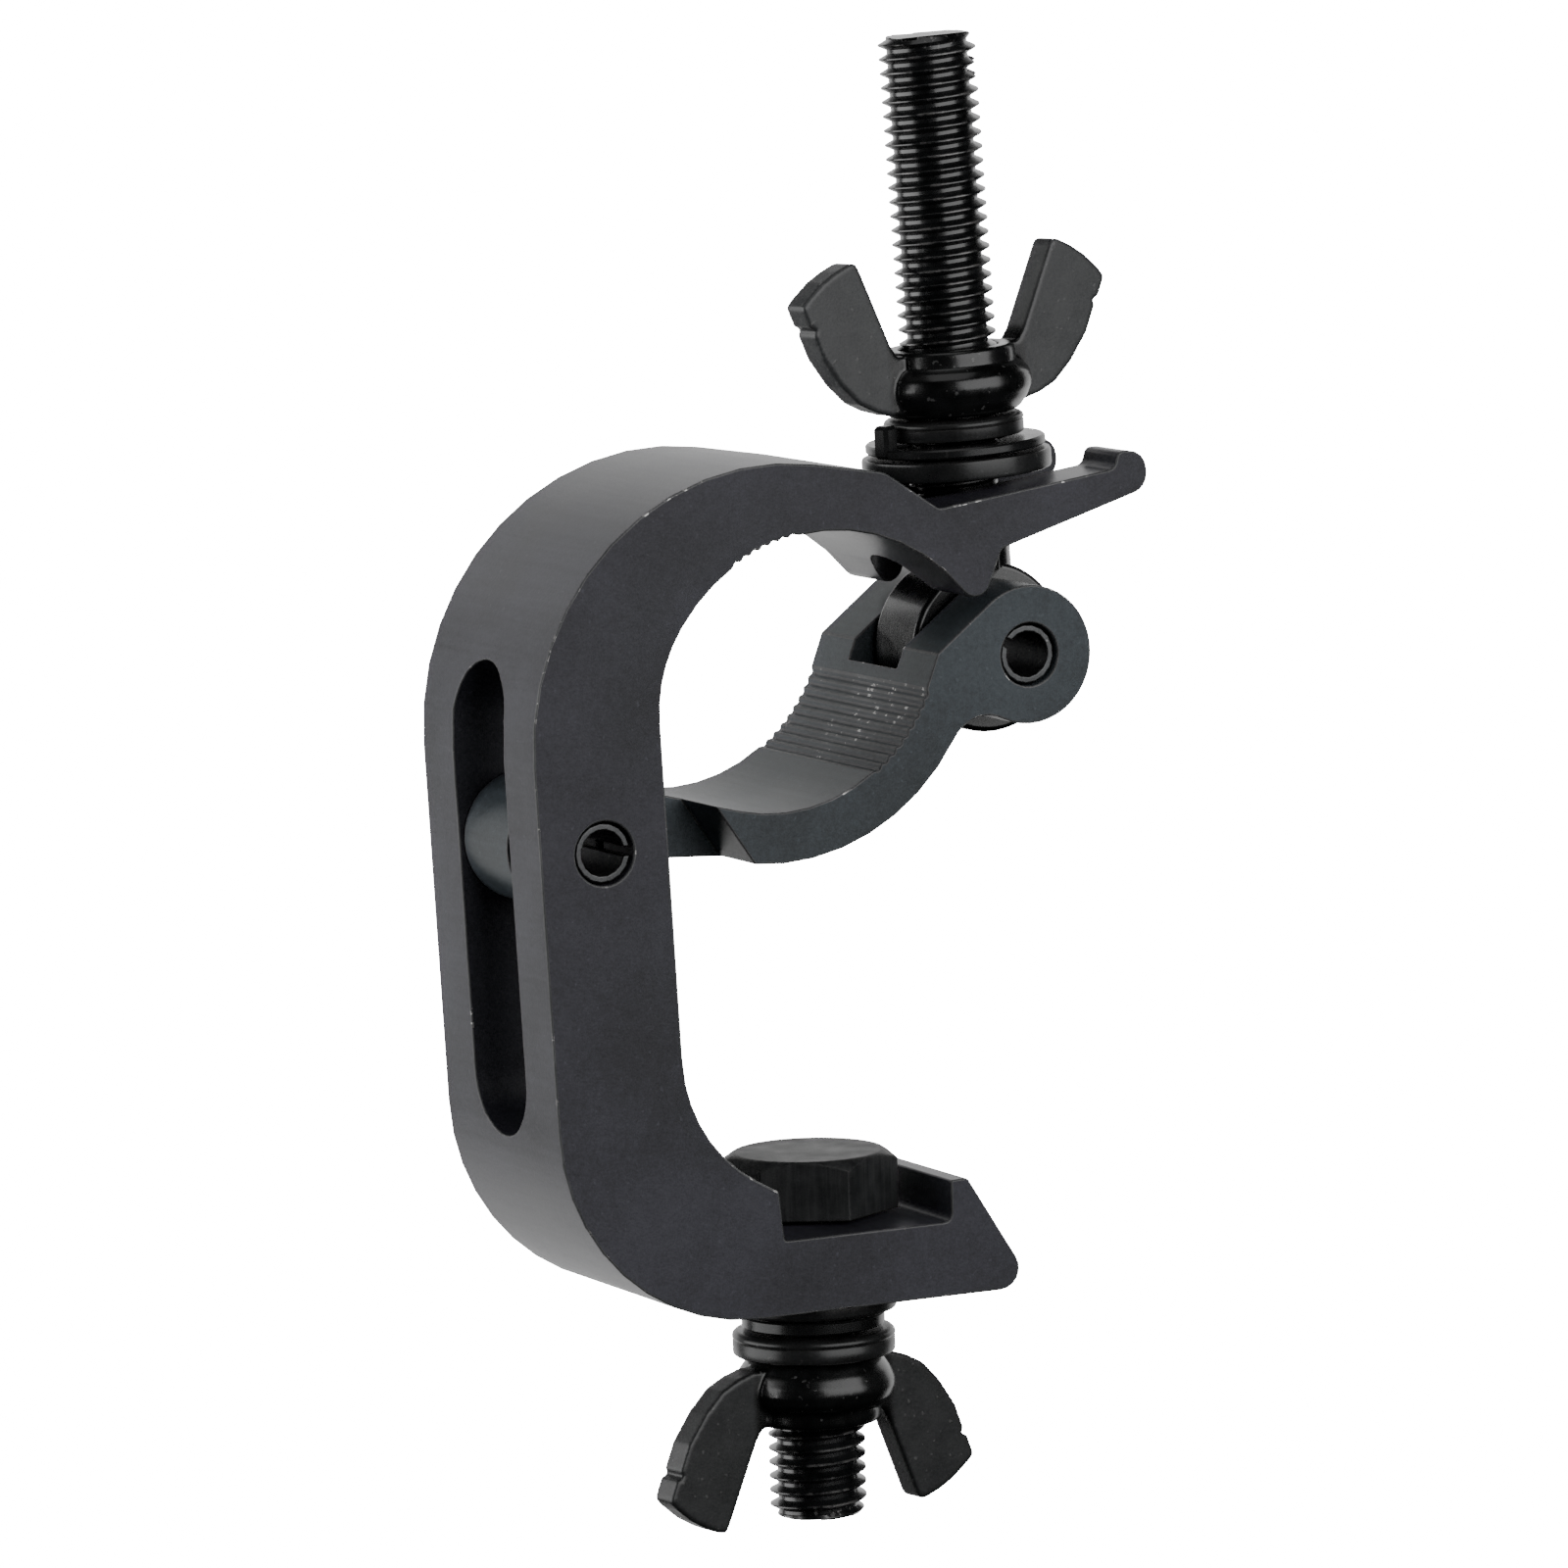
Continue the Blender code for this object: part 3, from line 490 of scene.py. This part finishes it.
stake_turn = radians(-28)       # towards the right of the front
stake_size = 0.0034
stake_depth = 0.0011
stake_drop = 0.0042             # from the tip
stake_out = bolt_radius + stake_size / 2 - stake_depth
stake_place = (stake_out * cos(stake_turn), stake_out * sin(stake_turn), swing_tip - stake_drop)
bpy.ops.mesh.primitive_cube_add(size=stake_size, rotation=(0.0, radians(14), stake_turn),
                                location=stake_place)
punch = settled("punch")
break_edges(punch, 0.0006, 2)
combine(swing_piece, punch, "DIFFERENCE")
place(swing_piece, swing_line)
shade(swing_piece, radians(35))
paint(swing_piece, bolt_finish("swing_bolt_oxide", swing_line, bolt_radius, shank_end, swing_tip))
seat(swing_piece, "bolt", "swing_bolt")

# ---------------------------------------------------------------- yoke bolt
# An M12 hex bolt stands captive in the lower arm's pocket, with its chamfered head up, and holds a
# lamp's yoke under the arm.  Its flats keep the upright marks of the heading die.

yoke_line = Matrix.Translation(joints["lower_bolt_turn"]["pos_m"]) @ Matrix.Rotation(pi, 4, "Y")
head_top, yoke_tip, head_corner = extent("lower_bolt", yoke_line)
half_flats = head_corner * cos(pi / 6)
head_foot = -0.0002             # the head's underside, just over the pocket floor
head_edge = 0.00022

yoke_piece = turned("yoke_bolt", [
    (0.0010, head_top),
    (half_flats - 0.0003, head_top),
    (half_flats + 0.0003, head_top + 0.0004),
    (head_corner + 0.0012, head_top + 0.0019),
    (head_corner + 0.0012, 0.0),
    (0.0010, 0.0),
])
bpy.ops.mesh.primitive_cylinder_add(vertices=6, radius=head_corner, depth=head_foot - head_top,
                                    location=(0.0, 0.0, (head_top + head_foot) / 2))
combine(yoke_piece, settled("hexagon"), "INTERSECT")
break_edges(yoke_piece, head_edge, angle=radians(25))
combine(yoke_piece, threaded_rod("yoke_thread", bolt_radius, -0.003, yoke_tip, 0.0009), "UNION")
place(yoke_piece, yoke_line)
shade(yoke_piece, radians(35))

head_finish, head_wire, head_shader = new_finish("bolt_head_oxide", specular=0.3)
head_place = head_wire.node("ShaderNodeTexCoord", {}, "Object")
die_marks = head_place.stretched(1.0, 1.0, 0.04).noise(1500.0, 3.0, 0.7)
head_cloud = head_place.noise(300.0, 4.0)
head_tone = (die_marks * 0.5 + head_cloud * 0.5).ramp(0.35, 0.65)
connect(head_wire, head_shader, Base_Color=head_tone.blend(grey(0.012, 1.1), grey(0.034, 1.05)),
        Roughness=0.46 + (head_cloud - 0.5) * 0.3,
        bump=(die_marks * 0.8 + head_place.noise(1800.0) * 0.2, 0.00003))
paint(yoke_piece, bolt_finish("yoke_bolt_oxide", yoke_line, bolt_radius, 0.0, yoke_tip), head_finish)
seat(yoke_piece, "yoke_bolt", "lower_bolt")
under_head = joints["lower_bolt_turn"]["pos_m"][2] + head_foot      # a little below the head
for face in yoke_piece.data.polygons:
    face.material_index = 1 if face.center.z > under_head else 0

# ---------------------------------------------------------------- washers
# Under each wing nut lie a thick washer, a split spring washer and a flat washer, all of blackened
# steel.  The upper spring washer's cut end stands up beside the stack.  The fine ribs that the thick
# washers have round their rims are left out.

washer_finish = steel_finish("blackened_washer", 0.022, 0.30, 0.35)
spring_finish = steel_finish("blackened_spring", 0.020, 0.26, 0.45)
washer_bore = bolt_radius + 0.00045


def flat_washer(name, node, body, line):
    """A stamped ring: a rounded rim and a lightly broken bore."""
    low, high, radius = extent(node, line)
    edge = 0.00045
    burr = 0.0002
    piece = turned(name, [
        (washer_bore + burr, low),
        (radius - edge, low),
        (radius - edge * 0.3, low + edge * 0.3),
        (radius, low + edge),
        (radius, high - edge),
        (radius - edge * 0.3, high - edge * 0.3),
        (radius - edge, high),
        (washer_bore + burr, high),
        (washer_bore, high - burr),
        (washer_bore, low + burr),
    ], ring=True)
    place(piece, line)
    shade(piece, radians(40))
    paint(piece, washer_finish)
    seat(piece, body, node)


def thick_washer(name, node, body, line, count, foot_down):
    """A turned ring with a flat band and a groove round its rim, drawn in a little from the solid."""
    low, high, radius = extent(node, line)
    foot, rim = (low, high) if foot_down else (high, low)
    step = (rim - foot) / 26
    drawn_in = 0.00020
    piece = turned(name, [
        (washer_bore, foot),
        (radius - 0.0004, foot),
        (radius - 0.00012, foot + 1.5 * step),
        (radius - 0.00005, foot + 4 * step),
        (radius - 0.00005, foot + 15 * step),
        (radius - 0.00018, foot + 16.5 * step),
        (radius - 0.00002, foot + 18 * step),
        (radius, foot + 20 * step),
        (radius - 0.00010, foot + 22.5 * step),
        (radius - 0.00035, foot + 24.5 * step),
        (radius - 0.0008, rim),
        (washer_bore, rim),
    ], count=count, ring=True)
    shrink = (radius - drawn_in) / radius
    place(piece, Matrix.Diagonal((shrink, shrink, 1.0, 1.0)))
    place(piece, line)
    shade(piece, radians(40))
    paint(piece, washer_finish)
    seat(piece, body, node)


def spring_washer(name, node, body, line, split, end_block):
    """A square section screwed round with a slight rise; end_block is the raised end's height."""
    low, high, radius = extent(node, line)
    rise = 0.00022
    gap = radians(14)
    edge = 0.00022
    top = high - rise
    piece = traced(name, [
        (washer_bore, low),
        (radius - edge, low),
        (radius, low + edge),
        (radius, top - edge),
        (radius - edge, top),
        (washer_bore, top),
        (washer_bore, low),
    ])
    modify(piece, "SCREW", axis="Z", steps=88, render_steps=88, angle=2 * pi - gap, screw_offset=rise,
           use_normal_calculate=True)
    pick(piece)
    bpy.ops.object.mode_set(mode="EDIT")
    bpy.ops.mesh.select_all(action="SELECT")
    bpy.ops.mesh.remove_doubles(threshold=0.000002)
    bpy.ops.mesh.fill_holes(sides=0)
    bpy.ops.mesh.select_all(action="SELECT")
    bpy.ops.mesh.normals_make_consistent(inside=False)
    bpy.ops.object.mode_set(mode="OBJECT")
    if end_block:
        width = 0.0022
        depth = 0.0026
        middle = (radius - width / 2, -depth / 2 - 0.0001, low + end_block / 2)
        bpy.ops.mesh.primitive_cube_add(size=1.0, scale=(width, depth, end_block), location=middle)
        block = settled("raised_end")
        break_edges(block, 0.00045, 1)
        combine(piece, block, "UNION")
    place(piece, Matrix.Rotation(split + gap / 2, 4, "Z"))
    place(piece, line)
    shade(piece, radians(30))
    paint(piece, spring_finish)
    seat(piece, body, node)


flat_washer("upper_flat_ring", "upper_flat_washer", "upper_washers", swing_line)
spring_washer("upper_split_ring", "upper_spring_washer", "upper_washers", swing_line,
              radians(187), 0.0041)
thick_washer("upper_ribbed_ring", "upper_thick_washer", "upper_washers", swing_line, 264, True)
flat_washer("lower_flat_ring", "lower_flat_washer", "lower_washers", yoke_line)
spring_washer("lower_split_ring", "lower_spring_washer", "lower_washers", yoke_line,
              radians(60), 0.0)
thick_washer("lower_ribbed_ring", "lower_thick_washer", "lower_washers", yoke_line, 308, False)

# ---------------------------------------------------------------- wing nuts
# Forged and blackened M12 wing nuts: a bellied hub with a turned neck, and two slab wings with a
# nick in their outer edges from trimming.  The upper one clamps the jaw, the lower one the yoke.


def wing_finish(name, line, wing_painted_light_level):
    """Satin on the wings, with small dings; the hub's turned belly is glossier. The wings are coloured
    lighter than the hub by the given level, as painted light for the light their flat faces catch.
    """
    made, wire, shader = new_finish(name, specular=0.6)
    spot, _, out = about(wire, line)
    wing = out.ramp(0.0098, 0.0112)
    cloud = spot.noise(330.0, 4.0, 0.6)
    grain = spot.noise(2100.0, 2.0)
    ding = spot.noise(1150.0, 1.0).ramp(0.68, 0.76)
    hub_tone = cloud.ramp(0.3, 0.7).blend(grey(0.003, 1.1), grey(0.008, 1.08))
    # The wings' colour, set by the given level, is painted light: lighter than the hub's for the light
    # their flat faces catch.
    wing_painted_tone = (cloud * 0.7 + grain * 0.3).ramp(0.3, 0.7)
    wing_painted_tone = wing_painted_tone.blend(grey(wing_painted_light_level * 0.74, 1.12), grey(wing_painted_light_level * 1.26, 1.08))
    colour = (ding * 0.5).blend(wing.blend(hub_tone, wing_painted_tone), grey(0.14))
    roughness = 0.24 + wing * 0.16 + (cloud - 0.5) * 0.16 + (grain - 0.5) * 0.08
    connect(wire, shader, Base_Color=colour, Roughness=roughness,
            bump=(cloud * 0.4 + grain * wing * 0.5 + ding * 0.3, 0.00003))
    return made


wing_turn = radians(9.3)        # how the wings stand about the bolt, from +X


def wing_nut(name, node, body, line, lifts, wing_painted_light_level):
    """Each wing is bent up or down by its lift in degrees, as forged wings are."""
    base, top, span = extent(node, line)
    hub = bolt_radius + 0.0040
    neck = bolt_radius + 0.0022
    height = 0.0082
    thickness = 0.0038
    sink = hub - 0.0030
    reach = (span ** 2 - (thickness / 2) ** 2) ** 0.5
    core = 0.0005               # the bore is cut later
    nut = turned(name, [
        (core, base),
        (hub - 0.0022, base),
        (hub - 0.0016, base + 0.0004),
        (hub - 0.0007, base + 0.0016),
        (hub - 0.0001, base + 0.0029),
        (hub, base + 0.0038),
        (hub - 0.0003, base + 0.0049),
        (hub - 0.0010, base + 0.0057),
        (neck, base + 0.0061),
        (neck - 0.0001, base + height - 0.0004),
        (neck - 0.0004, base + height),
        (core, base + height),
    ])
    inner_edge = [
        (sink, base + height - 0.0004),
        (hub - 0.0006, base + height - 0.0002),
        (hub + 0.0004, base + height + 0.0012),
        (reach - 0.0084, top - 0.0006),
        (reach - 0.0079, top),
    ]
    tip_edge = [
        (reach - 0.0070, top - 0.0001),
        (reach - 0.0052, top - 0.0009),
        (reach - 0.0030, top - 0.0022),
        (reach - 0.0008, top - 0.0041),
        (reach, top - 0.0050),
        (reach - 0.0001, top - 0.0056),
    ]
    nick = [
        (reach - 0.0010, top - 0.0076),
        (reach - 0.0019, top - 0.0079),
        (reach - 0.0016, top - 0.0087),
    ]
    outer_edge = [
        (reach - 0.0030, base + 0.0082),
        (reach - 0.0056, base + 0.0048),
        (hub + 0.0052, base + 0.0024),
        (hub + 0.0028, base + 0.0013),
        (hub + 0.0002, base + 0.0006),
        (sink, base + 0.0005),
    ]
    blank = traced("wing", inner_edge + tip_edge + nick + outer_edge, closed=True)
    pick(blank)
    bpy.ops.object.mode_set(mode="EDIT")
    bpy.ops.mesh.select_all(action="SELECT")
    bpy.ops.mesh.extrude_region_move(TRANSFORM_OT_translate={"value": (0.0, thickness, 0.0)})
    bpy.ops.mesh.select_all(action="SELECT")
    bpy.ops.transform.translate(value=(0.0, -thickness / 2, 0.0))
    bpy.ops.mesh.normals_make_consistent(inside=False)
    bpy.ops.object.mode_set(mode="OBJECT")
    root = Matrix.Translation((sink, 0.0, base + 0.003))
    foot = Matrix.Translation((0.0, 0.0, base))
    for half, lift in zip((0.0, pi), lifts):
        wing = blank.copy()
        wing.data = blank.data.copy()
        bpy.context.scene.collection.objects.link(wing)
        bend = root @ Matrix.Rotation(-radians(lift), 4, "Y") @ root.inverted()
        place(wing, Matrix.Rotation(half, 4, "Z") @ bend)
        wide = max(hypot(vertex.co.x, vertex.co.y) for vertex in wing.data.vertices)
        tall = max(vertex.co.z for vertex in wing.data.vertices)
        shorter = min(1.0, span / wide)
        lower = min(1.0, (top - base) / (tall - base))
        place(wing, foot @ Matrix.Diagonal((shorter, 1.0, lower, 1.0)) @ foot.inverted())
        combine(nut, wing, "UNION")
    bpy.data.objects.remove(blank)
    bpy.ops.mesh.primitive_cylinder_add(vertices=sides, radius=bolt_radius + 0.0002, depth=4 * height,
                                        location=(0.0, 0.0, base + height / 2))
    combine(nut, settled("bore"), "DIFFERENCE")
    modify(nut, "REMESH", mode="VOXEL", voxel_size=0.00024)
    modify(nut, "SMOOTH", factor=0.5, iterations=4)
    farthest = max(frame["nodes"][node].data.vertices,
                   key=lambda vertex: hypot(*(line.inverted() @ vertex.co).xy)).co
    local = line.inverted() @ farthest
    corner = atan2(local.y, local.x)
    spread = thickness / 2 / span
    turn = min((corner - spread, corner + spread),
               key=lambda angle: abs(abs(sin(angle)) - sin(wing_turn)))
    place(nut, Matrix.Rotation(turn, 4, "Z"))
    place(nut, line)
    shade(nut, radians(50))
    paint(nut, wing_finish(f"{name}_black", line, wing_painted_light_level))
    seat(nut, body, node)


# The wing levels are painted light and shade: the upper nut's wings are lightened for the light they
# catch, and the lower nut's are darkened as painted shade for the lesser light that reaches them.
wing_nut("upper_wings", "upper_wing_nut", "upper_nut", swing_line, (-2.5, 3.5), 0.046)
wing_nut("lower_wings", "lower_wing_nut", "lower_nut", yoke_line, (0.8, 3.5), 0.021)

# ---------------------------------------------------------------- studio
# A plain white floor and surroundings, two tall soft boxes in front with a gap between them, and a
# weak soft light overhead.  The camera looks along the tube from the front, a little from above.

white = 24.0                    # how bright the floor and the surroundings look
floor_height = cad_box[0].z - 0.25

bpy.ops.object.select_all(action="DESELECT")
bpy.ops.mesh.primitive_plane_add(size=40.0, location=(0.0, 0.0, floor_height))
floor = bpy.context.object
floor.name = "studio_floor"
floor_material = bpy.data.materials.new("white_floor")
floor_material.use_nodes = True
floor_shader = floor_material.node_tree.nodes["Principled BSDF"]
floor_shader.inputs["Base Color"].default_value = (0.9, 0.9, 0.9, 1.0)
floor_shader.inputs["Emission Color"].default_value = (1.0, 1.0, 1.0, 1.0)
floor_shader.inputs["Emission Strength"].default_value = white
floor.data.materials.append(floor_material)
floor.visible_diffuse = False
floor.visible_glossy = False

world = bpy.data.worlds.new("studio")
world.use_nodes = True
world.node_tree.nodes["Background"].inputs["Color"].default_value = (1.0, 1.0, 1.0, 1.0)
world.node_tree.nodes["Background"].inputs["Strength"].default_value = white
world.cycles_visibility.diffuse = False
world.cycles_visibility.glossy = False
bpy.context.scene.world = world


def soft_box(name, bearing, height, distance, width, tall, power):
    """An area light that faces the clamp; the bearing is turned from the camera's side."""
    light = bpy.data.lights.new(name, "AREA")
    light.shape = "RECTANGLE"
    light.size = width
    light.size_y = tall
    light.energy = power
    lamp = bpy.data.objects.new(name, light)
    bpy.context.scene.collection.objects.link(lamp)
    angle = camera_bearing + bearing
    lamp.location = (distance * sin(angle), -distance * cos(angle), height)
    lamp.rotation_euler = (-lamp.location).to_track_quat("-Z", "Y").to_euler()
    lamp.visible_camera = False


camera_bearing = radians(-26.35)
soft_box("left_soft_box", radians(-84), 0.05, 1.0, 1.15, 0.90, 9.5)
soft_box("right_soft_box", radians(44), 0.30, 1.0, 1.25, 0.90, 9.0)
soft_box("overhead_light", radians(-10), 1.2, 0.35, 0.9, 0.9, 2.0)
soft_box("backdrop_glow", radians(180), -0.10, 1.5, 3.4, 2.2, 30.0)

target = Vector((0.0012, 0.0, -0.0086))
elevation = radians(7.284)
camera_distance = 1.1266
lens = bpy.data.cameras.new("camera")
lens.lens = 211.5
lens.sensor_width = 36.0
camera = bpy.data.objects.new("camera", lens)
bpy.context.scene.collection.objects.link(camera)
aim = Matrix.Rotation(camera_bearing, 4, "Z") @ Matrix.Rotation(pi / 2 - elevation, 4, "X")
pull_back = Matrix.Translation((0.0, 0.0, camera_distance))
roll = Matrix.Rotation(radians(-1.727), 4, "Z")
camera.matrix_world = Matrix.Translation(target) @ aim @ pull_back @ roll
bpy.context.scene.camera = camera
